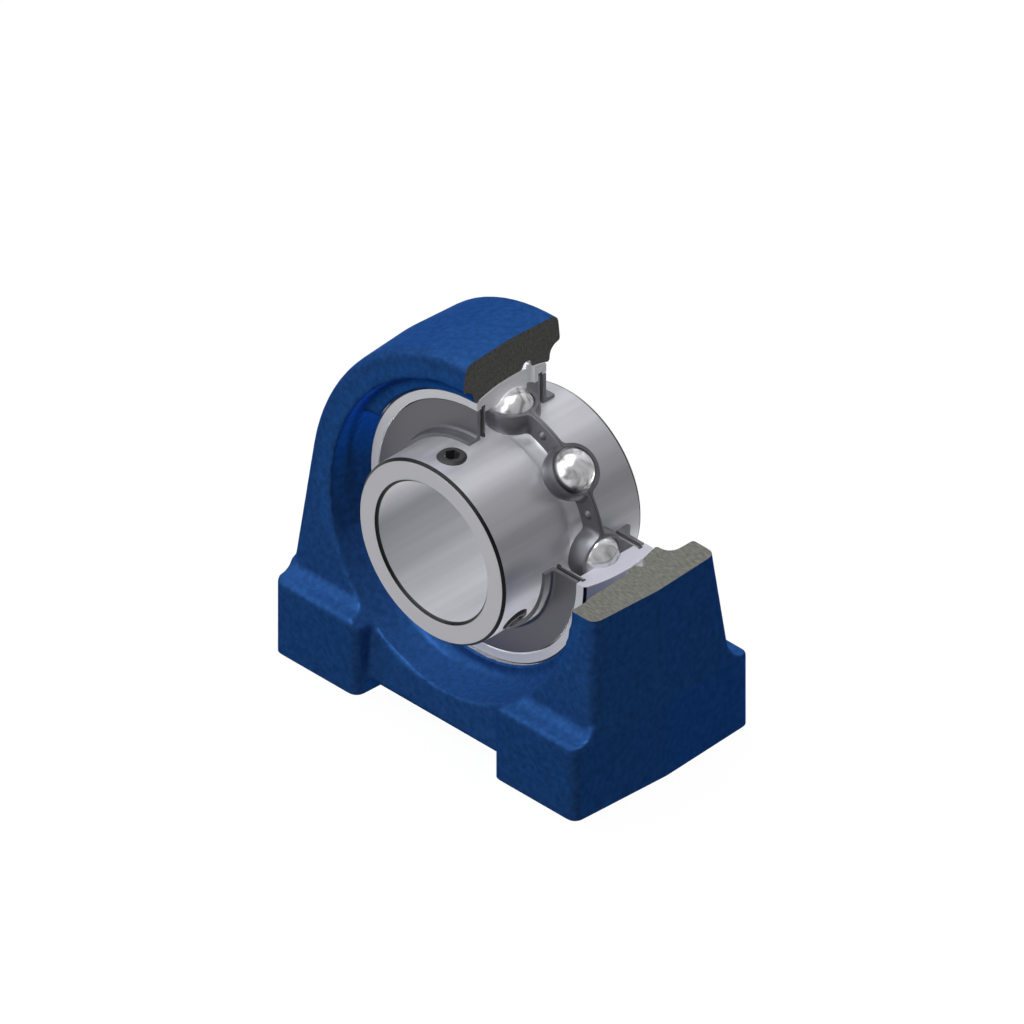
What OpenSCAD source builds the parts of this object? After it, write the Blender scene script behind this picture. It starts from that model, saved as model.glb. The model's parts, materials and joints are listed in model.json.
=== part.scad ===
/* [Bearing insert] */
// Bore of the inner ring, which is the shaft diameter
bore_d = 30; // [27:0.5:31]
// Outside diameter of the inner ring
inner_ring_d = 40.2; // [39.8:0.1:41]
// Width of the inner ring
inner_ring_w = 38.1; // [35:0.1:42]
// Distance from the ball centre line to the face on the set screw side
screw_side_w = 22.2; // [21:0.1:24]
// Diameter of one ball
ball_d = 9.525; // [9:0.025:9.8]
// Diameter of the circle through the ball centres
pitch_d = 46; // [45.6:0.1:46.4]
// Diameter of the spherical outside of the outer ring
outer_ring_d = 62; // [61:0.5:64]
// Width of the outer ring
outer_ring_w = 19; // [18.6:0.1:20.4]
// Diameter of the lands beside the raceway in the outer ring
outer_land_d = 52.4; // [51.8:0.1:53]
// Chamfer on the edges of both rings
ring_chamfer = 0.6; // [0.3:0.05:0.9]
// Diameter of the lubrication hole in the outer ring
lube_hole_d = 2.2; // [1.6:0.1:2.6]
// Distance of the lubrication hole behind the ball centre line
lube_hole_y = 5.2; // [4.8:0.1:5.6]

/* [Cage] */
// Thickness of the cage strip
cage_t = 0.88; // [0.6:0.02:1.1]
// Space between the cage and the land of each ring
cage_land_gap = 0.75; // [0.5:0.05:1]
// Space between a ball and its cage pocket
pocket_gap = 0.12; // [0.08:0.01:0.2]
// Radius of the bend between a pocket and a flat web
cage_bend_r = 1.1; // [0.6:0.1:1.5]
// Diameter of a cage rivet shank
rivet_d = 1.3; // [1:0.1:1.6]
// Diameter of a cage rivet head
rivet_head_d = 2.1; // [1.8:0.1:2.4]

/* [Seals and flingers] */
// Depth of the recess for the seal in each side of the outer ring
seal_recess = 2.2; // [2:0.05:2.6]
// Diameter of the mouth of the seal recess
seal_mouth_d = 54.6; // [54.2:0.1:55]
// Diameter of the groove that holds the rim of the seal
seal_groove_d = 55.7; // [55.4:0.1:56]
// Width of the groove that holds the rim of the seal
seal_groove_w = 1.05; // [0.9:0.05:1.2]
// Thickness of the steel plate of the seal
seal_plate_t = 0.4; // [0.3:0.05:0.5]
// Width of the rubber lip inside the steel plate
seal_lip_w = 1.1; // [0.8:0.1:1.4]
// Space between the seal lip and the inner ring
lip_gap = 0.08; // [0.05:0.01:0.12]
// Thickness of the flinger sheet
flinger_t = 0.8; // [0.5:0.05:1]
// Space between the seal and the flinger
flinger_seal_gap = 0.3; // [0.2:0.05:0.4]
// Space between the rim of the flinger and the outer ring
flinger_rim_gap = 0.3; // [0.2:0.05:0.5]
// Length of the collar by which the flinger sits on the inner ring
flinger_collar = 2.3; // [1.5:0.1:2.8]

/* [Set screws] */
// Thread diameter of a set screw
screw_d = 6; // [5:0.5:6.5]
// Length of a set screw
screw_len = 5; // [4:0.1:5.2]
// Distance of the screw centre from the face of the inner ring
screw_inset = 5.7; // [5:0.1:6.5]
// Height of the screw above the inner ring
screw_proud = 0.4; // [0:0.1:0.8]
// Angle between the two set screws
screw_angle = 120; // [60:5:150]
// Width across flats of the hexagon socket
socket_af = 3; // [2.5:0.1:3.4]
// Depth of the hexagon socket
socket_depth = 2.6; // [2:0.1:3]
// Chamfer on the top of a set screw
screw_rim = 0.5; // [0.3:0.05:0.7]
// Chamfer at the point of a set screw
screw_point = 1; // [0.6:0.1:1.2]
// Radius of the cup in the point of a set screw
screw_cup_r = 1.6; // [1:0.1:1.8]
// Depth of the cup in the point of a set screw
screw_cup_depth = 1; // [0.5:0.1:1.2]

/* [Housing] */
// Height of the shaft centre above the base
shaft_h = 42.9; // [42:0.1:48]
// Length of the base at the middle of its depth
base_len = 85.3; // [84:0.1:92]
// Depth of the base over the two feet
base_depth = 48.2; // [46:0.2:54]
// Diameter of the barrel at the middle of its depth
barrel_d = 80.2; // [78:0.2:82]
// Depth of the body at the height of the shaft
body_depth = 33.6; // [32.4:0.2:36]
// Angle at which the front and back faces lean inwards
face_lean = 6; // [4:0.5:7]
// Draft of the casting to each side of its middle
draft = 3; // [1:0.5:4]
// Rounding along the edges of the body
body_edge_r = 2; // [1:0.1:2.5]
// Height of the feet
foot_h = 17; // [14:0.1:20]
// Length of each foot
foot_len = 25.2; // [22:0.1:28]
// Rounding of the upright corners of the feet
foot_corner_r = 2; // [1:0.1:3]
// Slope of the top of the feet
ledge_slope = 8; // [2:1:12]
// Rounding along the outer edge of the top of the feet
ledge_edge_r = 0.9; // [0.4:0.1:1.4]
// Fillet between the top of the feet and the body
ledge_fillet_r = 2.6; // [1.5:0.1:3.2]
// Height of the underside between the feet above the base
base_relief = 2.8; // [2:0.1:4]
// Distance between the two tapped holes
bolt_spacing = 66; // [62:0.5:68]
// Core diameter of the tapped holes
tap_core_d = 12; // [10:0.1:12.5]
// Depth of the tapped holes
tap_depth = 18; // [14:0.5:20]
// Angle of the cone that the drill leaves at the end of the tapped holes
drill_cone = 31; // [28:1:32]

/* [Seat in the housing] */
// Running gap between the outer ring and its seat
seat_gap = 0.08; // [0.05:0.01:0.1]
// Width of the spherical seat
seat_w = 20.8; // [20:0.2:22]
// Diameter of the recess on both sides of the seat
recess_d = 66.2; // [65.6:0.1:68]
// Fillet at the bottom of the recess
recess_fillet_r = 2.6; // [1.5:0.1:3]
// Width of the grease groove in the seat
grease_groove_w = 2.3; // [1.5:0.1:3]
// Distance of the grease groove behind the ball centre line
grease_groove_y = 4.2; // [3.5:0.1:4.6]
// Depth of the grease groove
grease_groove_depth = 1.35; // [1:0.05:1.6]
// Height of the two loading slots
slot_h = 26.6; // [22:0.2:28]
// Taper of the loading slots
slot_taper = 2.6; // [1.6:0.2:3]
// Distance that the loading slots reach behind the ball centre line
slot_past_centre = 0.7; // [0.2:0.1:1.2]

/* [Hidden] */
$fn = 96;

// Overrun of a cutting shape past the surface that it cuts
over = 1;

// The balls and their raceways
ball_count = 8;
ball_step = 360 / ball_count;
ball_r = ball_d / 2;
pitch_r = pitch_d / 2;
race_gap = 0.06;
race_r = 0.52 * ball_d;
inner_race_centre_r = pitch_r - ball_r - race_gap + race_r;
outer_race_centre_r = pitch_r + ball_r + race_gap - race_r;

// The two rings
bore_r = bore_d / 2;
inner_ring_r = inner_ring_d / 2;
back_side_w = inner_ring_w - screw_side_w;
outer_ring_r = outer_ring_d / 2;
outer_half_w = outer_ring_w / 2;
outer_face_r = sqrt(pow(outer_ring_r, 2) - pow(outer_half_w, 2));
outer_land_r = outer_land_d / 2;
outer_chamfer = ring_chamfer / 2;

// The cage
pocket_r = ball_r + pocket_gap;
cage_in_r = inner_ring_r + cage_land_gap;
cage_out_r = outer_land_r - cage_land_gap;
rivet_circle_r = (cage_in_r + cage_out_r) / 2;

// The seals and flingers, as distances from the ball centre line
seal_in_y = outer_half_w - seal_recess;
seal_out_y = seal_in_y + seal_groove_w;
seal_plate_in_r = inner_ring_r + lip_gap + seal_lip_w;
flinger_in_y = seal_out_y + flinger_seal_gap;
flinger_out_y = flinger_in_y + flinger_t;
flinger_out_r = seal_mouth_d / 2 - flinger_rim_gap;

// The set screws
screw_y = screw_side_w - screw_inset;
screw_top_r = inner_ring_r + screw_proud;
screw_fit_gap = 0.02;
socket_r = socket_af / sqrt(3);

// The housing, whose body ends inside the feet
barrel_r = barrel_d / 2;
face_y = body_depth / 2;
foot_y = base_depth / 2;
foot_end_x = base_len / 2;
side_inset = 0.05;
fillet_bite = 0.03;
shoulder = [foot_end_x - side_inset, foot_h - shaft_h];
flare = acos(barrel_r / norm(shoulder)) - atan2(-shoulder[1], shoulder[0]);
barrel_steps = 40;
rim_steps = 5;
body_end_inset = 2;
lower_end_x = foot_end_x - body_end_inset;
foot_recess_gap = 0.02;
foot_cut_from = -66;
foot_cut_to = -36;
foot_cut_step = 3;
seat_r = outer_ring_r + seat_gap;
recess_r = recess_d / 2;
slot_inset = 0.25;

// Half depth of the body at a height above the shaft centre
function face_at(z) = face_y - z * tan(face_lean);

// Centre of an edge rounding, for a point on the outline with its outward direction
function rim_centre(point, out) =
    let (
        side_inset = body_edge_r / cos(draft),
        deep = face_at(point[1] - out[1] * side_inset) - body_edge_r / cos(face_lean),
        y = deep / (1 - tan(face_lean) * tan(draft) * out[1]),
        inset = y * tan(draft) + side_inset
    )
    [point[0] - out[0] * inset, y, point[1] - out[1] * inset];

// Points of the rounding between a leaning face and the side, for one point on the outline
function rim_arc(point, out) =
    let (
        centre = rim_centre(point, out),
        face_out = [0, cos(face_lean), sin(face_lean)],
        side_out = [out[0] * cos(draft), sin(draft), out[1] * cos(draft)],
        turn = acos(face_out * side_out)
    )
    [for (i = [0 : rim_steps])
        let (part = i / rim_steps * turn)
        centre + body_edge_r * (face_out * sin(turn - part) + side_out * sin(part)) / sin(turn)];

// A direction in the plane of the outline
function toward(a) = [cos(a), sin(a)];

// Where two lines meet, each given by a point and a direction
function meet(p, u, q, v) =
    p + u * ((q[0] - p[0]) * v[1] - (q[1] - p[1]) * v[0]) / (u[0] * v[1] - u[1] * v[0]);

// Puts a shape whose axis is Z on the shaft, with its top end to the set screw side
module on_shaft() {
    translate([0, 0, shaft_h])
        rotate([90, 0, 0])
            children();
}

// Turns a profile of radius and distance from the ball centre line into a ring on the shaft
module turned() {
    on_shaft()
        rotate_extrude()
            children();
}

// The quarter that is cut away to show the inside
module window() {
    reach = 2 * barrel_r;
    translate([0, -reach, shaft_h])
        cube([reach, 2 * reach, reach]);
}

// Copies a shape to the place of every ball
module at_each_ball() {
    for (i = [0 : ball_count - 1])
        rotate([0, 0, i * ball_step])
            translate([pitch_r, 0, 0])
                children();
}

// Points of the body's outline at the middle of its depth, each with its outward direction
function body_outline() = concat(
    [for (end = [-1, 1]) [[end * lower_end_x, -shaft_h], [end, 0]]],
    [for (end = [-1, 1]) [[end * shoulder[0], shoulder[1]], [end * cos(flare), sin(flare)]]],
    [for (i = [0 : barrel_steps])
        let (a = flare + i * (180 - 2 * flare) / barrel_steps)
        [barrel_r * toward(a), toward(a)]]
);

// Body with its barrel, flared sides, leaning faces and rounded edges, spanned over its corners
module body_blank() {
    reach = 3 * barrel_r;
    outline = body_outline();
    crown = [for (o = outline) [o[0][0], 0, o[0][1]]];
    rims = [for (o = outline, p = rim_arc(o[0], o[1]), side = [-1, 1]) [p[0], side * p[1], p[2]]];
    corners = concat(crown, rims);
    difference() {
        translate([0, 0, shaft_h])
            hull()
                polyhedron(points = corners, faces = [[for (i = [0 : len(corners) - 1]) i]]);
        translate([-reach / 2, -reach / 2, base_relief - reach])
            cube([reach, reach, reach]);
    }
}

// Section through the feet, as half depth and height above the base
module foot_section() {
    face_dir = [-sin(face_lean), cos(face_lean)];
    face_out = [cos(face_lean), sin(face_lean)];
    ledge_dir = [-cos(ledge_slope), sin(ledge_slope)];
    ledge_up = [sin(ledge_slope), cos(ledge_slope)];
    edge = [foot_y, foot_h];
    face_foot = [face_at(-shaft_h), 0];
    corner = meet(edge, ledge_dir, face_foot, face_dir);
    fillet_at = meet(
        edge + ledge_up * ledge_fillet_r, ledge_dir,
        face_foot + face_out * (ledge_fillet_r - fillet_bite), face_dir
    );
    on_face = fillet_at - face_out * ledge_fillet_r;
    on_ledge = fillet_at - ledge_up * ledge_fillet_r;
    round_at = meet(
        edge - ledge_up * ledge_edge_r, ledge_dir,
        [foot_y - ledge_edge_r, 0], [0, 1]
    );
    inside = face_dir * over - face_out * over;
    difference() {
        union() {
            polygon([
                [0, 0], [foot_y, 0], [foot_y, round_at[1]],
                round_at + ledge_up * ledge_edge_r, on_ledge, corner, [0, corner[1]]
            ]);
            polygon([on_ledge, on_face, on_face - face_out * over, corner - face_out * over,
                corner - ledge_up * over, on_ledge - ledge_up * over]);
            translate(round_at)
                circle(r = ledge_edge_r);
        }
        translate(fillet_at)
            circle(r = ledge_fillet_r);
    }
}

// The part of the recess that takes the inner corner off a foot, just outside the recess itself
module recess_sector(end) {
    r = recess_r + foot_recess_gap;
    arc = [for (a = [foot_cut_from : foot_cut_step : foot_cut_to]) [end * r * cos(a), r * sin(a)]];
    polygon(concat([[0, 0]], arc));
}

// One foot, whose sides have the draft of the casting, clear of the recess in the body
module foot(end) {
    in_x = foot_end_x - foot_len;
    taper = (foot_y - foot_corner_r) * tan(draft);
    difference() {
        intersection() {
            hull()
                for (y = [-1, 0, 1]) {
                    at_y = y * (foot_y - foot_corner_r);
                    narrow = abs(y) * taper;
                    for (x = [in_x + foot_corner_r + narrow, foot_end_x - foot_corner_r - narrow])
                        translate([end * x, at_y, 0])
                            cylinder(r = foot_corner_r, h = 2 * foot_h, $fn = 32);
                }
            for (side = [0, 1])
                mirror([0, side, 0])
                    rotate([90, 0, 90])
                        linear_extrude(height = 2 * base_len, center = true)
                            foot_section();
        }
        on_shaft()
            linear_extrude(height = 2 * base_depth, center = true)
                recess_sector(end);
    }
}

// Recess on one side of the seat, as radius and distance from the ball centre line
module recess_profile() {
    reach = foot_y + over;
    floor_y = seat_w / 2;
    bend_r = recess_r - recess_fillet_r;
    bend_y = floor_y + recess_fillet_r;
    translate([0, floor_y])
        square([bend_r, reach - floor_y]);
    translate([0, bend_y])
        square([recess_r, reach - bend_y]);
    translate([bend_r, bend_y])
        circle(r = recess_fillet_r);
}

// Spherical seat with its grease groove and the recess on both sides
module seat_cut() {
    groove_r = seat_r + grease_groove_depth;
    turned() {
        intersection() {
            circle(r = seat_r);
            translate([0, -seat_r])
                square([seat_r, 2 * seat_r]);
        }
        recess_profile();
        mirror([0, 1])
            recess_profile();
        translate([0, -grease_groove_y - grease_groove_w / 2])
            square([groove_r, grease_groove_w]);
    }
}

// Both loading slots, which stay just inside the recess where they open on the front face
module loading_slots() {
    reach = foot_y + over;
    back_r = recess_r - slot_inset - (face_y + slot_past_centre) * tan(slot_taper);
    front_r = back_r + (reach + slot_past_centre) * tan(slot_taper);
    intersection() {
        turned()
            polygon([
                [0, -slot_past_centre], [back_r, -slot_past_centre], [front_r, reach], [0, reach]
            ]);
        translate([-barrel_d, -barrel_d, shaft_h - slot_h / 2])
            cube([2 * barrel_d, 2 * barrel_d, slot_h]);
    }
}

// Tapped hole in the base, with the cone that the drill leaves
module tapped_hole() {
    core_r = tap_core_d / 2;
    rotate_extrude()
        polygon([
            [0, -over], [core_r, -over],
            [core_r, tap_depth], [0, tap_depth + core_r * tan(drill_cone)]
        ]);
}

module housing() {
    color("royalblue")
        difference() {
            union() {
                difference() {
                    body_blank();
                    seat_cut();
                    loading_slots();
                    window();
                }
                foot(1);
                foot(-1);
            }
            for (end = [-1, 1])
                translate([end * bolt_spacing / 2, 0, 0])
                    tapped_hole();
        }
}

// Half of the outer ring's inside, from the ball centre line to one face
module outer_ring_inside() {
    mouth_r = seal_mouth_d / 2;
    square([outer_land_r, outer_half_w + over]);
    translate([0, seal_in_y])
        square([seal_groove_d / 2, seal_groove_w]);
    translate([0, seal_in_y])
        square([mouth_r, outer_half_w + over - seal_in_y]);
}

module outer_ring() {
    color("lightsteelblue")
        difference() {
            turned()
                difference() {
                    intersection() {
                        circle(r = outer_ring_r);
                        translate([outer_land_r - over, -outer_half_w])
                            square([outer_ring_r, outer_ring_w]);
                        chamfer_limit();
                    }
                    outer_ring_inside();
                    mirror([0, 1])
                        outer_ring_inside();
                    translate([outer_race_centre_r, 0])
                        circle(r = race_r);
                }
            translate([0, lube_hole_y, shaft_h + outer_land_r - over])
                cylinder(d = lube_hole_d, h = outer_ring_r);
            window();
        }
}

// Cone pair that chamfers the edges between the sphere and the faces
module chamfer_limit() {
    far = outer_face_r + outer_half_w - outer_chamfer;
    polygon([[0, -far], [far, 0], [0, far]]);
}

module inner_ring() {
    front_y = screw_side_w;
    back_y = -back_side_w;
    c = ring_chamfer;
    color("silver")
        difference() {
            turned()
                difference() {
                    polygon([
                        [bore_r + c, back_y], [inner_ring_r - c, back_y],
                        [inner_ring_r, back_y + c], [inner_ring_r, front_y - c],
                        [inner_ring_r - c, front_y], [bore_r + c, front_y],
                        [bore_r, front_y - c], [bore_r, back_y + c]
                    ]);
                    translate([inner_race_centre_r, 0])
                        circle(r = race_r);
                }
            for (a = [0, screw_angle])
                screw_place(a)
                    translate([0, 0, -inner_ring_r])
                        cylinder(d = screw_d + 2 * screw_fit_gap, h = inner_ring_r);
        }
}

// Stands a screw on the inner ring, with its top at the origin of its own axis
module screw_place(a) {
    translate([0, 0, shaft_h])
        rotate([0, a, 0])
            translate([0, -screw_y, screw_top_r])
                children();
}

// Set screw with a chamfered rim, a hexagon socket and a cup point
module set_screw() {
    r = screw_d / 2;
    color("dimgray")
        difference() {
            translate([0, 0, -screw_len])
                rotate_extrude()
                    polygon([
                        [0, 0], [r - screw_point, 0], [r, screw_point],
                        [r, screw_len - screw_rim], [r - screw_rim, screw_len], [0, screw_len]
                    ]);
            translate([0, 0, -socket_depth])
                cylinder(r = socket_r, h = socket_depth + over, $fn = 6);
            translate([0, 0, -screw_len])
                rotate_extrude()
                    polygon([
                        [0, -over], [screw_cup_r, -over], [screw_cup_r, 0], [0, screw_cup_depth]
                    ]);
        }
}

module set_screw_top() {
    screw_place(0)
        set_screw();
}

module set_screw_side() {
    screw_place(screw_angle)
        set_screw();
}

module ball(i) {
    color("whitesmoke")
        on_shaft()
            rotate([0, 0, (i - 1) * ball_step])
                translate([pitch_r, 0, 0])
                    sphere(r = ball_r);
}

// Outside of one pocket, as radius and height about the middle of its ball
module pocket_outside() {
    shell_r = pocket_r + cage_t;
    bend_y = cage_t + cage_bend_r;
    bend_x = sqrt(pow(shell_r + cage_bend_r, 2) - pow(bend_y, 2));
    difference() {
        union() {
            intersection() {
                circle(r = shell_r);
                square([shell_r, shell_r]);
            }
            square([bend_x, bend_y * shell_r / (shell_r + cage_bend_r)]);
        }
        translate([bend_x, bend_y])
            circle(r = cage_bend_r);
    }
}

// One half of the cage, on the set screw side of the ball centre line
module cage_half() {
    shell_r = pocket_r + cage_t;
    difference() {
        intersection() {
            union() {
                cylinder(r = cage_out_r, h = cage_t);
                at_each_ball()
                    rotate_extrude()
                        pocket_outside();
            }
            difference() {
                cylinder(r = cage_out_r, h = shell_r + over);
                translate([0, 0, -over])
                    cylinder(r = cage_in_r, h = shell_r + 3 * over);
            }
        }
        at_each_ball()
            sphere(r = pocket_r);
        for (i = [0 : ball_count - 1])
            rotate([0, 0, (i + 0.5) * ball_step])
                translate([rivet_circle_r, 0, -over])
                    cylinder(d = rivet_d, h = cage_t + 2 * over);
    }
}

module cage_front() {
    color("dimgray")
        on_shaft()
            cage_half();
}

module cage_back() {
    color("dimgray")
        on_shaft()
            mirror([0, 0, 1])
                cage_half();
}

// Rivet through both cage halves, with a domed head at each end
module rivet() {
    head_r = rivet_head_d / 2;
    head_h = 0.6 * head_r;
    dome_r = (pow(head_r, 2) + pow(head_h, 2)) / (2 * head_h);
    cylinder(d = rivet_d, h = 2 * cage_t, center = true);
    for (side = [0, 1])
        mirror([0, 0, side])
            intersection() {
                translate([0, 0, cage_t + head_h - dome_r])
                    sphere(r = dome_r);
                translate([0, 0, cage_t])
                    cylinder(r = head_r + over, h = head_h + over);
            }
}

module cage_rivets() {
    color("gray")
        on_shaft()
            for (i = [0 : ball_count - 1])
                rotate([0, 0, (i + 0.5) * ball_step])
                    translate([rivet_circle_r, 0, 0])
                        rivet();
}

// Steel plate of a seal, clamped by its rim in the groove of the outer ring
module seal_plate_profile() {
    rim_r = seal_mouth_d / 2;
    translate([seal_plate_in_r, seal_in_y])
        square([rim_r - seal_plate_in_r, seal_plate_t]);
}

// Rubber of a seal, with a bead in the groove and a lip at the inner ring
module seal_rubber_profile() {
    lip_r = inner_ring_r + lip_gap;
    rim_r = seal_mouth_d / 2;
    groove_r = seal_groove_d / 2;
    polygon([
        [rim_r, seal_in_y], [groove_r, seal_in_y], [groove_r, seal_out_y],
        [lip_r + seal_lip_w / 2, seal_out_y], [lip_r, seal_in_y + seal_plate_t],
        [lip_r, seal_in_y], [lip_r + seal_lip_w / 2, seal_in_y],
        [seal_plate_in_r, seal_in_y + seal_plate_t / 2],
        [seal_plate_in_r, seal_in_y + seal_plate_t],
        [rim_r, seal_in_y + seal_plate_t]
    ]);
}

// Flinger disc with a rounded bend and a collar that sits on the inner ring
module flinger_profile() {
    collar_end = flinger_out_y + flinger_collar;
    bend_r = flinger_t;
    difference() {
        union() {
            translate([inner_ring_r, flinger_in_y])
                square([flinger_out_r - inner_ring_r, flinger_t]);
            translate([inner_ring_r, flinger_in_y])
                square([flinger_t, collar_end - flinger_in_y]);
            translate([inner_ring_r, flinger_in_y])
                square([flinger_t + bend_r, flinger_t + bend_r]);
        }
        translate([inner_ring_r + flinger_t + bend_r, flinger_out_y + bend_r])
            circle(r = bend_r);
    }
}

// A ring on one side of the ball centre line, with the window cut out of it
module cut_ring(side) {
    difference() {
        turned()
            mirror([0, side < 0 ? 1 : 0])
                children();
        window();
    }
}

module seal_plate_front() {
    color("gray")
        cut_ring(1)
            seal_plate_profile();
}

module seal_plate_back() {
    color("gray")
        cut_ring(-1)
            seal_plate_profile();
}

module seal_rubber_front() {
    color("black")
        cut_ring(1)
            seal_rubber_profile();
}

module seal_rubber_back() {
    color("black")
        cut_ring(-1)
            seal_rubber_profile();
}

module flinger_front() {
    color("slategray")
        cut_ring(1)
            flinger_profile();
}

module flinger_back() {
    color("slategray")
        cut_ring(-1)
            flinger_profile();
}

housing();
outer_ring();
inner_ring();
ball(1);  // ball_1
ball(2);  // ball_2
ball(3);  // ball_3
ball(4);  // ball_4
ball(5);  // ball_5
ball(6);  // ball_6
ball(7);  // ball_7
ball(8);  // ball_8
cage_front();
cage_back();
cage_rivets();
seal_plate_front();
seal_plate_back();
seal_rubber_front();
seal_rubber_back();
flinger_front();
flinger_back();
set_screw_top();
set_screw_side();
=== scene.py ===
import json
import math

import bpy
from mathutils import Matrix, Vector

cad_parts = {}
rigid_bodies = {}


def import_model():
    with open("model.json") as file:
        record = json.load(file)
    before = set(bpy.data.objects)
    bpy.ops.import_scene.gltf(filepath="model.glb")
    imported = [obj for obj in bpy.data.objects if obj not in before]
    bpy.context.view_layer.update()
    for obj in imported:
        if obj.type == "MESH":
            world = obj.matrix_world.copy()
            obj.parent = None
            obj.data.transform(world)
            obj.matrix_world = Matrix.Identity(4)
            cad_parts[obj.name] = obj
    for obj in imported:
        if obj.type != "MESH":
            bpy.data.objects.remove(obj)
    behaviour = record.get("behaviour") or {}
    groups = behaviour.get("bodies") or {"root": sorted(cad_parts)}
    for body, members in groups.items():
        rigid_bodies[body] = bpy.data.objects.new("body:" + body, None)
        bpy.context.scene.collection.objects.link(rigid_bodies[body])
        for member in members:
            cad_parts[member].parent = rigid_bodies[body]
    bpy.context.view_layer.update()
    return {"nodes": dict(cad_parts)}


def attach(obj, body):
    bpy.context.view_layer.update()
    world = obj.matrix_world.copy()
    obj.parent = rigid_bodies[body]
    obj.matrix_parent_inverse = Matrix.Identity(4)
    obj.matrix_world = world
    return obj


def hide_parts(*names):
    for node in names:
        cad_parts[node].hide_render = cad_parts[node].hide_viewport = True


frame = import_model()
cadNodes = frame["nodes"]
mm = 0.001
hair = 0.02 * mm  # what is closer than this to a plane lies in it
mergeDistance = 0.002 * mm
bearingCentre = Vector((0, 0, 42.9 * mm))
print("frame loaded:", len(cadNodes), "nodes")


# helpers for selecting, copying and finishing pieces

def deselectAll():
    if bpy.context.object and bpy.context.object.mode != "OBJECT":
        bpy.ops.object.mode_set(mode="OBJECT")
    bpy.ops.object.select_all(action="DESELECT")


def makeActive(piece):
    deselectAll()
    piece.select_set(True)
    bpy.context.view_layer.objects.active = piece


def selectWhere(piece, kind, wanted):  # wanted(part) says which faces or vertices
    makeActive(piece)
    bpy.ops.object.mode_set(mode="EDIT")
    bpy.ops.mesh.select_mode(type=kind)
    bpy.ops.mesh.select_all(action="DESELECT")
    bpy.ops.object.mode_set(mode="OBJECT")
    for part in piece.data.polygons if kind == "FACE" else piece.data.vertices:
        part.select = wanted(part)
    bpy.ops.object.mode_set(mode="EDIT")


def copyNode(nodeName, pieceName):  # a merged copy of a CAD node, ready to be worked on
    piece = bpy.data.objects.new(pieceName, cadNodes[nodeName].data.copy())
    bpy.context.scene.collection.objects.link(piece)
    makeActive(piece)
    bpy.ops.mesh.customdata_custom_splitnormals_clear()
    bpy.ops.object.mode_set(mode="EDIT")
    bpy.ops.mesh.select_all(action="SELECT")
    bpy.ops.mesh.remove_doubles(threshold=mergeDistance)
    bpy.ops.object.mode_set(mode="OBJECT")
    return piece


def applyModifier(piece, kind, **settings):
    makeActive(piece)
    modifier = piece.modifiers.new(kind.lower(), kind)
    for name, value in settings.items():
        setattr(modifier, name, value)
    bpy.ops.object.modifier_apply(modifier=modifier.name)


def cutWith(piece, cutter, operation):
    applyModifier(piece, "BOOLEAN", object=cutter, operation=operation, solver="EXACT")
    bpy.data.objects.remove(cutter, do_unlink=True)


def dress(piece, *materials):
    piece.data.materials.clear()
    for material in materials:
        piece.data.materials.append(material)


def radiusFromShaft(place):
    return math.hypot(place.x - bearingCentre.x, place.z - bearingCentre.z)


# helpers for materials

def colour(hexValue):  # sRGB hex to linear
    parts = [int(hexValue[i:i + 2], 16) / 255 for i in (1, 3, 5)]
    return tuple(p / 12.92 if p <= 0.04045 else ((p + 0.055) / 1.055) ** 2.4 for p in parts) + (1,)


def feed(tree, node, inputs):  # each input is a value, or the output that it is linked to
    for socket, source in inputs.items():
        if isinstance(source, bpy.types.NodeSocket):
            tree.links.new(source, node.inputs[socket])
        else:
            node.inputs[socket].default_value = source


def addNode(tree, kind, inputs=None, **settings):
    node = tree.nodes.new("ShaderNode" + kind)
    for name, value in settings.items():
        setattr(node, name, value)
    feed(tree, node, inputs or {})
    return node


def startMaterial(name):
    material = bpy.data.materials.new(name)
    material.use_nodes = True
    tree = material.node_tree
    tree.nodes.clear()
    shader = addNode(tree, "BsdfPrincipled")
    addNode(tree, "OutputMaterial", {"Surface": shader.outputs["BSDF"]})
    place = addNode(tree, "TexCoord").outputs["Object"]
    return material, tree, shader, place


def blend(tree, amount, *stops):  # runs through the colours of the stops as the amount grows
    ramp = addNode(tree, "ValToRGB", {"Fac": amount})
    elements = ramp.color_ramp.elements
    while len(elements) < len(stops):
        elements.new(1)
    for element, (position, shade) in zip(elements, stops):
        element.position = position
        element.color = shade
    return ramp.outputs["Color"]


# camera: the photograph is an isometric view without perspective

photoView = {
    "imagePixels": 1024,
    "pixelsPerMm": 5.14,
    "centreRight": -0.2,  # where the bearing's centre stands, from the image's middle, in pixels
    "centreUp": 5.9,
    "azimuth": 45.0,
    "elevation": 35.264,
    "distance": 0.9,
}


def placeCamera(view):
    azimuth = math.radians(view["azimuth"])
    elevation = math.radians(view["elevation"])
    back = Vector((math.sin(azimuth) * math.cos(elevation),
                   -math.cos(azimuth) * math.cos(elevation),
                   math.sin(elevation)))
    right = Vector((math.cos(azimuth), math.sin(azimuth), 0))
    up = back.cross(right)
    pixel = mm / view["pixelsPerMm"]
    aim = bearingCentre - right * view["centreRight"] * pixel - up * view["centreUp"] * pixel
    bpy.ops.object.camera_add(location=aim + back * view["distance"])
    camera = bpy.context.object
    camera.rotation_euler = back.to_track_quat("Z", "Y").to_euler()
    camera.data.type = "ORTHO"
    camera.data.ortho_scale = view["imagePixels"] * pixel
    bpy.context.scene.camera = camera
    print("camera placed")


deselectAll()
placeCamera(photoView)


# studio: a pale floor, a soft lamp above, and weak fills that cast no shadow

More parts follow.
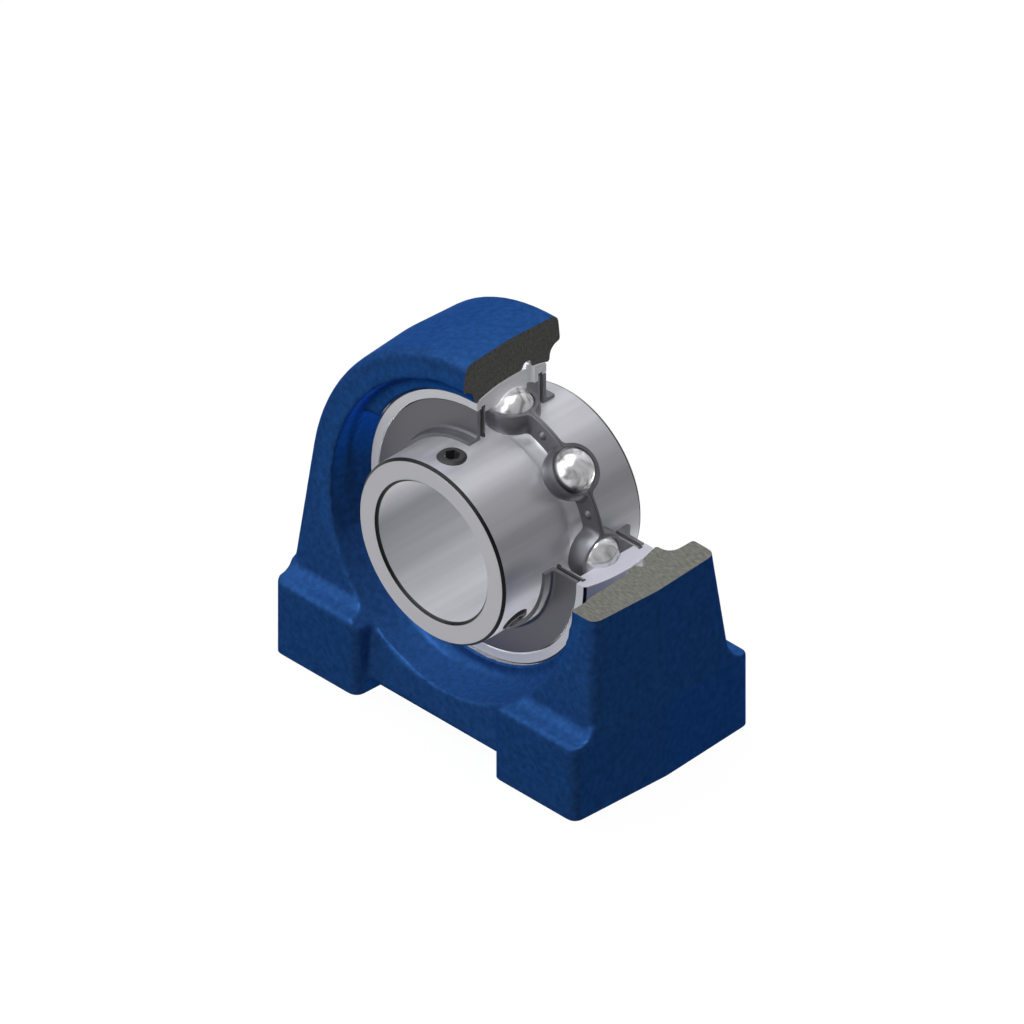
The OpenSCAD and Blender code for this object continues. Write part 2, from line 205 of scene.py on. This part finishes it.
studio = {
    "floorSize": 4.0,
    "floorDrop": 0.02 * mm,  # the floor and the base would flicker if they met
    "paperSeen": "#fbfbfb",
    "paperBounce": "#5c5c5c",  # the paper gives little light back to the sides of the object
    "floorGlow": 0.85,  # share of the floor that shows plain white, so that the shadow stays faint
    "areaLamps": {
        # name: (place, size in metres, watts)
        "overhead": ((-0.3, 0.1, 1.1), 0.8, 2.9),
    },
    "fillPlace": (0, 0, 0.5),
    "fills": {
        # name: (direction that the light comes from, strength, angle in degrees)
        "frontSoftbox": ((-0.36, -0.78, 0.51), 0.5, 70),
        "above": ((0, -0.2, 0.98), 2.2, 30),
        "frontShine": ((-0.577, -0.577, -0.577), 0.05, 24),
        "backShine": ((-0.4, 0.577, 0.71), 0.30, 60),
        "lowBackShine": ((0.04, 0.577, -0.81), 0.6, 50),
        "rightShine": ((0.577, 0.577, -0.577), 0.10, 40),
    },
    "sky": (0.96, 0.98, 1, 1),
    "skyStrength": 0.10,
    "mirrorTint": (0.98, 0.98, 1, 1),
    "mirrorSky": 0.33,
    "mirrorFloor": (0.72, 0.35),  # how bright steel shows the floor, to the front left and back right
    "mirrorFade": 0.1,  # the one changes into the other over this distance each way, in metres
    "panels": {
        # name: (direction, cosine at the rim, cosine at the full panel, brightness)
        "backPanel": ((-0.577, 0.577, 0.577), 0.35, 0.95, 0.4),
        "softbox": ((-0.36, -0.78, 0.51), 0.76, 0.86, 1.5),
    },
}


def buildFloor(look):
    deselectAll()
    bpy.ops.mesh.primitive_plane_add(size=look["floorSize"], location=(0, 0, -look["floorDrop"]))
    floor = bpy.context.object
    floor.name = "studioFloor"
    material = bpy.data.materials.new("paleStudioPaper")
    material.use_nodes = True
    tree = material.node_tree
    tree.nodes.clear()
    path = addNode(tree, "LightPath").outputs
    seen = addNode(tree, "Math", {0: path["Is Camera Ray"], 1: path["Is Glossy Ray"]},
                   operation="MAXIMUM").outputs[0]
    tint = blend(tree, seen, (0.0, colour(look["paperBounce"])), (1.0, colour(look["paperSeen"])))
    paper = addNode(tree, "BsdfDiffuse", {"Color": tint})
    place = addNode(tree, "SeparateXYZ", {"Vector": addNode(tree, "NewGeometry").outputs["Position"]})
    across = addNode(tree, "Math", {0: place.outputs["X"], 1: place.outputs["Y"]}, operation="ADD")
    nearSide, farSide = look["mirrorFloor"]
    mirrored = addNode(tree, "MapRange", {
        "Value": across.outputs[0], "From Min": -look["mirrorFade"], "From Max": look["mirrorFade"],
        "To Min": nearSide, "To Max": farSide}, interpolation_type="SMOOTHSTEP")
    strength = addNode(tree, "Math", {0: path["Is Camera Ray"], 1: mirrored.outputs[0]},
                       operation="MAXIMUM")
    white = addNode(tree, "Emission", {"Color": (1, 1, 1, 1), "Strength": strength.outputs[0]})
    share = addNode(tree, "Math", {0: seen, 1: look["floorGlow"]}, operation="MULTIPLY")
    mix = addNode(tree, "MixShader", {0: share.outputs[0], 1: paper.outputs[0], 2: white.outputs[0]})
    addNode(tree, "OutputMaterial", {"Surface": mix.outputs[0]})
    dress(floor, material)


def buildWorld(look):  # plain and dim for matt surfaces, with soft panels that the steel shows
    world = bpy.data.worlds.new("studioRoom")
    bpy.context.scene.world = world
    world.use_nodes = True
    tree = world.node_tree
    tree.nodes.clear()
    direction = addNode(tree, "TexCoord").outputs["Generated"]
    mirrored = look["mirrorSky"]
    for toward, rim, full, brightness in look["panels"].values():
        near = addNode(tree, "VectorMath", {0: direction, 1: toward}, operation="DOT_PRODUCT")
        panel = addNode(tree, "MapRange", {
            "Value": near.outputs["Value"], "From Min": rim, "From Max": full, "To Max": brightness},
            interpolation_type="SMOOTHSTEP")
        mirrored = addNode(tree, "Math", {0: panel.outputs[0], 1: mirrored}, operation="ADD").outputs[0]
    path = addNode(tree, "LightPath").outputs
    room = addNode(tree, "Background", {"Color": look["sky"], "Strength": look["skyStrength"]})
    gloss = addNode(tree, "Background", {"Color": look["mirrorTint"], "Strength": mirrored})
    white = addNode(tree, "Background", {"Color": (1, 1, 1, 1), "Strength": 1})
    shine = addNode(tree, "MixShader", {
        0: path["Is Glossy Ray"], 1: room.outputs[0], 2: gloss.outputs[0]})
    mix = addNode(tree, "MixShader", {
        0: path["Is Camera Ray"], 1: shine.outputs[0], 2: white.outputs[0]})
    addNode(tree, "OutputWorld", {"Surface": mix.outputs[0]})


def addLamps(look):
    for name, (place, size, watts) in look["areaLamps"].items():
        bpy.ops.object.light_add(type="AREA", location=place)
        lamp = bpy.context.object
        lamp.name = name + "Lamp"
        lamp.data.size = size
        lamp.data.energy = watts
        lamp.rotation_euler = (lamp.location - bearingCentre).to_track_quat("Z", "Y").to_euler()
    for name, (direction, strength, angle) in look["fills"].items():
        bpy.ops.object.light_add(type="SUN", location=look["fillPlace"])
        lamp = bpy.context.object
        lamp.name = name + "Fill"
        lamp.data.energy = strength
        lamp.data.angle = math.radians(angle)
        lamp.data.use_shadow = False
        lamp.data.cycles.use_multiple_importance_sampling = False  # steel shows the panels instead
        lamp.rotation_euler = Vector(direction).to_track_quat("Z", "Y").to_euler()


buildFloor(studio)
buildWorld(studio)
addLamps(studio)
bpy.context.scene.view_settings.view_transform = "Standard"
print("studio lit")


# materials: a scale is in cells per metre, with the width of its grain beside it

grains = {
    "paintMottle": {"Scale": 800, "Detail": 5, "Roughness": 0.6},  # 1.25 mm
    "castSkin": {"Scale": 900, "Detail": 4, "Roughness": 0.6},  # 1.1 mm, the sand under the paint
    "sawMarks": {"Scale": 2000, "Detail": 5, "Roughness": 0.65},  # 0.5 mm
    "turningMarks": {"Scale": 700, "Detail": 3},  # 1.4 mm, coarser than real so that they show
    "grindingAndReflectionStreaks": {"Scale": 190, "Detail": 4, "Roughness": 0.5},  # 5 mm, much coarser than real; partly grinding marks, partly painted reflection bands
    "paintedBallReflection": {"Scale": 210, "Detail": 2, "Roughness": 0.5, "Distortion": 1.6},  # 4.8 mm, painted reflection on the balls
    "rubberBloom": {"Scale": 400, "Detail": 3},  # 2.5 mm
}


def addGrain(tree, place, name):
    return addNode(tree, "TexNoise", {"Vector": place, **grains[name]}).outputs["Fac"]


def machineEnamel(name, sheen, roughness):
    # sprayed over rough iron: fine mottling, and a sheen of its own blue
    material, tree, shader, place = startMaterial(name)
    tint = blend(tree, addGrain(tree, place, "paintMottle"),
                 (0.3, colour("#1f4172")), (0.5, colour("#244980")), (0.72, colour("#29528e")))
    bump = addNode(tree, "Bump", {
        "Height": addGrain(tree, place, "castSkin"), "Strength": 0.5, "Distance": 0.16 * mm})
    feed(tree, shader, {
        "Base Color": tint, "Normal": bump.outputs["Normal"], "Metallic": sheen,
        "Roughness": roughness, "Specular IOR Level": 0, "Specular Tint": colour("#5aa2ff")})
    return material


def sawnIron():  # cast iron where the quarter was cut away: olive grey, its grain drawn out by the saw
    material, tree, shader, place = startMaterial("sawnIron")
    along = addNode(tree, "Mapping", {
        "Vector": place, "Rotation": (0, 0, math.radians(-45)), "Scale": (0.35, 1, 0.7)})
    flecks = addGrain(tree, along.outputs["Vector"], "sawMarks")
    tint = blend(tree, flecks,
                 (0.32, colour("#51514c")), (0.5, colour("#656560")), (0.7, colour("#78786f")))
    bump = addNode(tree, "Bump", {"Height": flecks, "Strength": 0.35, "Distance": 0.1 * mm})
    feed(tree, shader, {
        "Base Color": tint, "Normal": bump.outputs["Normal"], "Roughness": 0.7,
        "Specular IOR Level": 0.3})
    return material


def machinedIron():  # seat, base and holes, turned or milled: light grey with soft flecks
    material, tree, shader, place = startMaterial("machinedIron")
    tint = blend(tree, addGrain(tree, place, "turningMarks"),
                 (0.3, colour("#9c9ca0")), (0.7, colour("#b4b4b8")))
    feed(tree, shader, {"Base Color": tint, "Metallic": 0.3, "Roughness": 0.4})
    return material


def polishedSteel():  # lapped balls: bright, with a painted reflection of what stands around them, as soft clouds in the colour
    material, tree, shader, place = startMaterial("polishedBallSteel")
    tint = blend(tree, addGrain(tree, place, "paintedBallReflection"),
                 (0.36, colour("#aaaaac")), (0.5, colour("#e6e6e8")), (0.62, colour("#fcfcfd")))
    feed(tree, shader, {"Base Color": tint, "Metallic": 0.72, "Roughness": 0.14})
    return material


def nitrileRubber():  # moulded seal lips: near black and dull
    material, tree, shader, place = startMaterial("nitrileRubber")
    tint = blend(tree, addGrain(tree, place, "rubberBloom"),
                 (0.3, colour("#101010")), (0.7, colour("#1a1a1a")))
    feed(tree, shader, {"Base Color": tint, "Roughness": 0.6})
    return material


def groundSteel(name, shade, roughness, metallic, dark=None, matt=None, paintedUpShade=None):
    # ground or pressed steel: grey, with faint streaks along its barrels, partly grinding marks and
    # partly painted reflection bands. dark(tree, radius, along) marks black edges, matt(tree, radius)
    # what mirrors less, and the last argument is a painted shade: the colour of a flat cut that looks
    # straight up, darker because light falls on it from above
    material, tree, shader, place = startMaterial(name)
    stretched = addNode(tree, "Mapping", {"Vector": place, "Scale": (1, 0.03, 1)})
    marks = addGrain(tree, stretched.outputs["Vector"], "grindingAndReflectionStreaks")
    bump = addNode(tree, "Bump", {"Height": marks, "Strength": 0.04, "Distance": 0.02 * mm})
    facing = addNode(tree, "SeparateXYZ", {"Vector": addNode(tree, "TexCoord").outputs["Normal"]})
    endOn = addNode(tree, "Math", {0: facing.outputs["Y"]}, operation="ABSOLUTE")
    onBarrel = addNode(tree, "Math", {0: 1, 1: endOn.outputs[0]}, operation="SUBTRACT")
    # painted reflection bands along the barrels, partly grinding marks: the streaks shift the colour
    # lighter and darker
    swing = addNode(tree, "Math", {0: marks, 1: 0.5}, operation="SUBTRACT")
    streakAndPaintedSheen = addNode(tree, "Math", {0: swing.outputs[0], 1: onBarrel.outputs[0]},
                     operation="MULTIPLY")
    amount = addNode(tree, "Math", {0: streakAndPaintedSheen.outputs[0], 1: 0.5}, operation="ADD")
    deep = tuple(0.8 * part for part in colour(shade)[:3]) + (1,)
    tint = blend(tree, amount.outputs[0], (0.38, deep), (0.62, colour(shade)))
    split = addNode(tree, "SeparateXYZ", {"Vector": place}).outputs
    flat = addNode(tree, "CombineXYZ", {"X": split["X"], "Z": split["Z"]})
    radius = addNode(tree, "VectorMath", {0: flat.outputs[0], 1: bearingCentre},
                     operation="DISTANCE").outputs["Value"]
    # painted shade: faces that look straight up take a darker colour, standing in for how the light
    # falls on them
    if paintedUpShade is not None:
        paintedShadeUpMask = addNode(tree, "Math", {0: facing.outputs["Z"], 1: 0.995}, operation="GREATER_THAN")
        tint = addNode(tree, "Mix", {"Factor": paintedShadeUpMask.outputs[0], "A": tint, "B": colour(paintedUpShade)},
                       data_type="RGBA").outputs["Result"]
    if dark is not None:
        tint = addNode(tree, "Mix", {
            "Factor": dark(tree, radius, split["Y"]), "A": tint, "B": (0.004, 0.004, 0.005, 1)},
            data_type="RGBA").outputs["Result"]
    if matt is not None:
        loss = addNode(tree, "Math", {0: matt(tree, radius), 1: metallic}, operation="MULTIPLY")
        metallic = addNode(tree, "Math", {0: metallic, 1: loss.outputs[0]},
                           operation="SUBTRACT").outputs[0]
    feed(tree, shader, {
        "Base Color": tint, "Normal": bump.outputs["Normal"], "Metallic": metallic,
        "Roughness": roughness})
    return material


insertSizes = {
    "ringShift": 3.25 * mm,  # the inner ring's middle lies this far to the set screws' side
    "ringHalfLength": 19.05 * mm,
    "ringOutside": 20.1 * mm,
    "boreRadius": 15.0 * mm,
    "boreSpare": 0.2 * mm,
    "boreLoss": 0.7,  # the bore lies in its own shade, where only its soft light shows
    "edgeLength": 0.68 * mm,  # how much of an edge is dark, along the shaft and across it
    "edgeWidth": 0.58 * mm,
    "outerEdgeReach": 38.66 * mm,  # radius and distance along the shaft, added, on the edge's cone
    "seamHalfWidth": 0.05 * mm,
}


def ringEdges(tree, radius, along):  # both rims of the inner ring and the mouths of its bore
    size = insertSizes
    shifted = addNode(tree, "Math", {0: along, 1: size["ringShift"]}, operation="ADD")
    fromMiddle = addNode(tree, "Math", {0: shifted.outputs[0]}, operation="ABSOLUTE")
    atEnd = addNode(tree, "Math", {
        0: fromMiddle.outputs[0], 1: size["ringHalfLength"] - size["edgeLength"]},
        operation="GREATER_THAN")
    outside = addNode(tree, "Math", {0: radius, 1: size["ringOutside"] - size["edgeWidth"]},
                      operation="GREATER_THAN")
    inside = addNode(tree, "Math", {0: radius, 1: size["boreRadius"] + size["edgeWidth"]},
                     operation="LESS_THAN")
    either = addNode(tree, "Math", {0: outside.outputs[0], 1: inside.outputs[0]},
                     operation="MAXIMUM")
    return addNode(tree, "Math", {0: atEnd.outputs[0], 1: either.outputs[0]},
                   operation="MULTIPLY").outputs[0]


def insideBore(tree, radius):
    within = addNode(tree, "Math", {
        0: radius, 1: insertSizes["boreRadius"] + insertSizes["boreSpare"]}, operation="LESS_THAN")
    return addNode(tree, "Math", {0: within.outputs[0], 1: insertSizes["boreLoss"]},
                   operation="MULTIPLY").outputs[0]


def outerEdges(tree, radius, along):  # the cone that breaks the edge between the sphere and each face
    fromMiddle = addNode(tree, "Math", {0: along}, operation="ABSOLUTE")
    reach = addNode(tree, "Math", {0: radius, 1: fromMiddle.outputs[0]}, operation="ADD")
    return addNode(tree, "Math", {0: reach.outputs[0], 1: insertSizes["outerEdgeReach"]},
                   operation="GREATER_THAN").outputs[0]


def cageSeam(tree, radius, along):  # the line where the two halves of the cage meet
    fromSeam = addNode(tree, "Math", {0: along}, operation="ABSOLUTE")
    return addNode(tree, "Math", {0: fromSeam.outputs[0], 1: insertSizes["seamHalfWidth"]},
                   operation="LESS_THAN").outputs[0]


enamel = machineEnamel("machineEnamel", 0.28, 0.4)
recessEnamel = machineEnamel("recessEnamel", 0.48, 0.34)  # the paint ran together and dried smoother
cutIron = sawnIron()
turnedIron = machinedIron()
rubber = nitrileRubber()
ballSteel = polishedSteel()
# the rings are ground: a soft gleam along the inner ring, and a duller outer ring, painted
# near white as painted light where the housing shades it, with a painted shade on its flat cut that
# looks up
ringSteel = groundSteel("groundRingSteel", "#c0c0c6", 0.32, 0.6, ringEdges, insideBore)
outerSteel = groundSteel("groundOuterSteel", "#f6f6fa", 0.34, 0.12, outerEdges, paintedUpShade="#b0b0bc")
# what is pressed from sheet is darker grey, and the screws are nearly black
cageSteel = groundSteel("pressedCageSteel", "#6e6e74", 0.42, 0.6, cageSeam)
plateSteel = groundSteel("pressedSealSteel", "#85858b", 0.4, 0.4)
flingerSteel = groundSteel("pressedFlingerSteel", "#6a6a70", 0.38, 0.6)
screwSteel = groundSteel("blackOxideSteel", "#29292b", 0.55, 0.2)
print("materials made")


# housing: the casting gets the soft edges of a sand mould, and crisp edges where it was cut

castHousing = {
    "voxel": 0.45 * mm,
    "softening": 6,
    "spare": 3.0 * mm,  # length that is added at the cut faces and cut off again
    "crownAbove": 60.0 * mm,  # the cut across reaches the crown only
    "ledgeAbove": 36.0 * mm,  # the level cut reaches the right ledge only
    "ledgeOutside": 15.0 * mm,
    "baseBelow": 6.0 * mm,
    "cutThreshold": 0.001 * mm,
    "seatRadius": 31.4 * mm,
    "seatFacing": -0.75,  # a face of the seat looks at the centre about this squarely
    "seatEnd": 10.40 * mm,
    "mouthRadius": 29.85 * mm,
    "mouthReach": 1.2 * mm,
    "mouthSides": 256,
    "grooveRadius": 32.7 * mm,
    "groovePlace": 4.2 * mm,
    "grooveHalfWidth": 1.4 * mm,
    "recessRadius": 36.5 * mm,
    "recessPaintBottom": 30.0 * mm,
    "tapPlace": 33.0 * mm,
    "tapRadius": 8.0 * mm,
    "tapTop": 25.0 * mm,
    "baseSkin": 0.3 * mm,
    "smoothAngle": math.radians(40),
}


def buildHousing(size):
    cuts = (
        # place and direction of the cut, and the points that it reaches
        (Vector((0, 0, 0)), Vector((1, 0, 0)), lambda p: p.z > size["crownAbove"]),
        (bearingCentre, Vector((0, 0, 1)),
         lambda p: p.z > size["ledgeAbove"] and p.x > size["ledgeOutside"]),
        (Vector((0, 0, 0)), Vector((0, 0, -1)), lambda p: p.z < size["baseBelow"]),
    )
    cutAcross, cutLevel = cuts[:2]

    def liesIn(face, cut):
        place, direction, reached = cut
        offset = (face.center - place).dot(direction)
        return face.normal.dot(direction) > 0.99 and abs(offset) < hair and reached(face.center)

    def inTap(place):
        fromTap = math.hypot(abs(place.x) - size["tapPlace"], place.y)
        return fromTap < size["tapRadius"] and place.z < size["tapTop"]

    piece = copyNode("housing", "castHousing")
    for cut in cuts:
        selectWhere(piece, "FACE", lambda face: liesIn(face, cut))
        added = tuple(cut[1] * size["spare"])
        bpy.ops.mesh.extrude_region_move(TRANSFORM_OT_translate={"value": added})
    applyModifier(piece, "REMESH", mode="VOXEL", voxel_size=size["voxel"])
    applyModifier(piece, "SMOOTH", factor=0.5, iterations=size["softening"])
    for side in (-1, 1):  # the mouths of the seat are turned clean, with a narrow chamfer
        bpy.ops.mesh.primitive_cone_add(
            vertices=size["mouthSides"], radius1=size["mouthRadius"] - size["mouthReach"],
            radius2=size["mouthRadius"] + size["mouthReach"], depth=2 * size["mouthReach"],
            location=bearingCentre + Vector((0, side * size["seatEnd"], 0)),
            rotation=(-side * math.pi / 2, 0, 0))
        cutWith(piece, bpy.context.object, "DIFFERENCE")
    for place, direction, reached in cuts:
        selectWhere(piece, "VERT", lambda point: reached(point.co))
        bpy.ops.mesh.bisect(plane_co=place, plane_no=direction, use_fill=True, clear_outer=True,
                            threshold=size["cutThreshold"])
        bpy.ops.object.mode_set(mode="OBJECT")

    dress(piece, enamel, cutIron, turnedIron, recessEnamel)
    for face in piece.data.polygons:
        place, normal = face.center, face.normal
        outward = place - bearingCentre
        onBase = normal.z < -0.9 and place.z < size["baseSkin"]
        inSeat = (outward.length < size["seatRadius"]
                  and normal.dot(outward.normalized()) < size["seatFacing"])
        inGroove = (radiusFromShaft(place) < size["grooveRadius"]
                    and abs(place.y - size["groovePlace"]) < size["grooveHalfWidth"])
        if liesIn(face, cutAcross) or liesIn(face, cutLevel):
            face.material_index = 1
        elif onBase or inSeat or inGroove or inTap(place):
            face.material_index = 2
        elif radiusFromShaft(place) < size["recessRadius"] and place.z > size["recessPaintBottom"]:
            face.material_index = 3
    makeActive(piece)
    bpy.ops.object.shade_smooth_by_angle(angle=size["smoothAngle"])
    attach(piece, "housing")
    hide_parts("housing")
    print("housing cast:", len(piece.data.polygons), "faces")


buildHousing(castHousing)


# cage: thinner sheet than the frame's solids have, with a flat rim outside each pocket

pressedCage = {
    "sheet": 0.88 * mm,
    "thinnerBy": 0.32 * mm,
    "pocketHeight": 5.2 * mm,
    "solidPocketRadius": 4.9 * mm,
    "pocketRadius": 5.05 * mm,
    "pocketSegments": 96,
    "rimPlace": 25.0 * mm,
    "ballCount": 8,
    "rivetShank": 0.5 * mm,
    "smoothAngle": math.radians(35),
}


def middleOf(piece):
    corners = [piece.matrix_world @ Vector(corner) for corner in piece.bound_box]
    return sum(corners, Vector()) / len(corners)


def finishCagePiece(piece, nodeName, size):
    dress(piece, cageSteel)
    makeActive(piece)
    bpy.ops.object.shade_smooth_by_angle(angle=size["smoothAngle"])
    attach(piece, "cage")
    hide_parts(nodeName)
    print(piece.name, "made:", len(piece.data.polygons), "faces")


def buildCageHalf(nodeName, pieceName, balls, size):
    piece = copyNode(nodeName, pieceName)
    span = size["pocketHeight"] - size["sheet"]
    for point in piece.data.vertices:  # the flat links come in fully, and the pockets' domes less
        place = point.co
        inPocket = min((place - ball).length for ball in balls) < size["solidPocketRadius"]
        rise = abs(place.y) - size["sheet"]
        if not inPocket and -hair / 2 < rise < span:
            place.y -= math.copysign(size["thinnerBy"] * (1 - rise / span) ** 2, place.y)

    deselectAll()
    for ball in balls:
        bpy.ops.mesh.primitive_uv_sphere_add(
            segments=size["pocketSegments"], ring_count=size["pocketSegments"] // 2,
            radius=size["pocketRadius"], location=ball)
        bpy.context.object.name = "pocketCutter"
    for thing in bpy.data.objects:
        thing.select_set(thing.name.startswith("pocketCutter"))
    bpy.ops.object.join()
    cutWith(piece, bpy.context.object, "DIFFERENCE")

    half = math.pi / size["ballCount"]  # one flat of a prism cuts the rim of each pocket
    bpy.ops.mesh.primitive_cylinder_add(
        vertices=size["ballCount"], radius=size["rimPlace"] / math.cos(half),
        depth=4 * size["pocketHeight"], location=bearingCentre, rotation=(math.pi / 2, 0, 0))
    flats = bpy.context.object
    bpy.ops.object.transform_apply(location=False, rotation=True, scale=False)
    first = balls[0] - bearingCentre
    flats.rotation_euler.y = half - math.atan2(first.z, first.x)
    bpy.ops.object.transform_apply(location=False, rotation=True, scale=False)
    cutWith(piece, flats, "INTERSECT")
    finishCagePiece(piece, nodeName, size)


def buildRivets(size):
    piece = copyNode("cage_rivets", "cageRivets")
    for point in piece.data.vertices:
        if abs(point.co.y) > size["rivetShank"]:
            point.co.y -= math.copysign(size["thinnerBy"], point.co.y)
    finishCagePiece(piece, "cage_rivets", size)


ballNames = [name for name in sorted(cadNodes) if name.startswith("ball_")]
ballPlaces = [middleOf(cadNodes[name]) for name in ballNames]
buildCageHalf("cage_front", "cageFront", ballPlaces, pressedCage)
buildCageHalf("cage_back", "cageBack", ballPlaces, pressedCage)
buildRivets(pressedCage)


# pieces that stay as the frame has them

carriedOver = {
    "outer_ring": outerSteel,
    "inner_ring": ringSteel,
    "seal_plate_front": plateSteel,
    "seal_plate_back": plateSteel,
    "seal_rubber_front": rubber,
    "seal_rubber_back": rubber,
    "flinger_front": flingerSteel,
    "flinger_back": flingerSteel,
    "set_screw_top": screwSteel,
    "set_screw_side": screwSteel,
}
for name in ballNames:
    carriedOver[name] = ballSteel
for name, material in carriedOver.items():
    dress(cadNodes[name], material)
print("frame pieces dressed")
